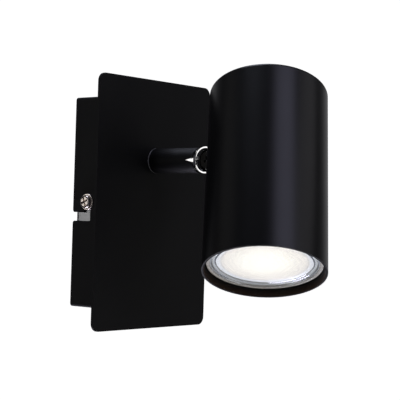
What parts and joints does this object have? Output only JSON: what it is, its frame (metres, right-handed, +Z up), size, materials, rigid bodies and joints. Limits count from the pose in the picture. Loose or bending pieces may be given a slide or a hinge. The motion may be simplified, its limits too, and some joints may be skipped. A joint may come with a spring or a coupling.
{
  "type": "pivoting spotlight wall light",
  "caption": "Wall spotlight: a cylindrical can head on a short arm with a tilting and turning knuckle, on a flat plate over a shallow box canopy.",
  "frame": {"origin": "centre of the canopy's open back on the wall plane, midway between the two wall slots", "axes": "+X along the wall to the right, -Y out of the wall towards the room, +Z up"},
  "size_m": [0.089, 0.1366, 0.1227],
  "materials": {
    "black_satin_paint": "satin black powder coat on steel sheet",
    "black_satin_paint_head": "satin black paint on a drawn can",
    "black_gloss_paint": "semi-gloss black paint on steel tube",
    "chrome_plate": "bright chrome plate",
    "zinc_plated_steel": "plain zinc plate",
    "nickel_plated_steel": "nickel plate, slightly warm",
    "terminal_plastic": "off-white moulded polyamide",
    "terminal_brass": "plain brass",
    "lead_brown": "brown sleeving",
    "lead_blue": "blue sleeving",
    "lead_green_yellow": "green and yellow striped sleeving",
    "white_ceramic": "glazed ceramic, off-white",
    "lamp_glass": "clear pressed glass",
    "lamp_frosted_lens": "frosted lens, lit warm white",
    "lamp_core_metal": "plain aluminium",
    "lamp_base_plastic": "white moulded plastic"
  },
  "bodies": {
    "wall_side": {"wall_bracket": "zinc_plated_steel", "canopy": "black_satin_paint", "side_screws": "nickel_plated_steel", "front_plate": "black_satin_paint", "arm_tube": "black_gloss_paint", "arm_nipple": "zinc_plated_steel", "tooth_washer": "zinc_plated_steel", "nipple_nut": "zinc_plated_steel", "knuckle_fork": "chrome_plate", "pivot_screw": "chrome_plate", "pivot_washer": "zinc_plated_steel", "pivot_nut": "chrome_plate", "terminal_block": "terminal_plastic", "terminal_inserts": "terminal_brass", "terminal_screws": "zinc_plated_steel", "terminal_fixing_screw": "zinc_plated_steel", "earth_screw": "nickel_plated_steel", "earth_tag": "zinc_plated_steel", "lead_live": "lead_brown", "lead_neutral": "lead_blue", "lead_earth": "lead_green_yellow"},
    "knuckle_link": {"knuckle_eye": "chrome_plate", "stub_washer": "zinc_plated_steel", "stub_nut": "zinc_plated_steel"},
    "head": {"head_tube": "black_satin_paint_head", "holder_bracket": "zinc_plated_steel", "lampholder": "white_ceramic", "holder_contacts": "terminal_brass", "holder_screws": "zinc_plated_steel", "head_earth_screw": "nickel_plated_steel", "head_earth_tag": "zinc_plated_steel", "head_lead_live": "lead_brown", "head_lead_neutral": "lead_blue", "head_lead_earth": "lead_green_yellow", "lamp_glass": "lamp_glass", "lamp_front_glass": "lamp_glass", "lamp_optic": "lamp_frosted_lens", "lamp_driver": "lamp_core_metal", "lamp_base": "lamp_base_plastic", "lamp_pins": "nickel_plated_steel"}
  },
  "joints": [
    {"name": "head_tilt", "type": "hinge", "parent": "wall_side", "child": "knuckle_link", "pos_m": [0, -0.06, 0.021], "axis": [-1, 0, 0], "range_deg": [-52, 73]},
    {"name": "head_turn", "type": "hinge", "parent": "knuckle_link", "child": "head", "pos_m": [0, -0.06, 0.021], "axis": [0, 0.9563, -0.2924], "range_deg": [-111, 69]}
  ]
}
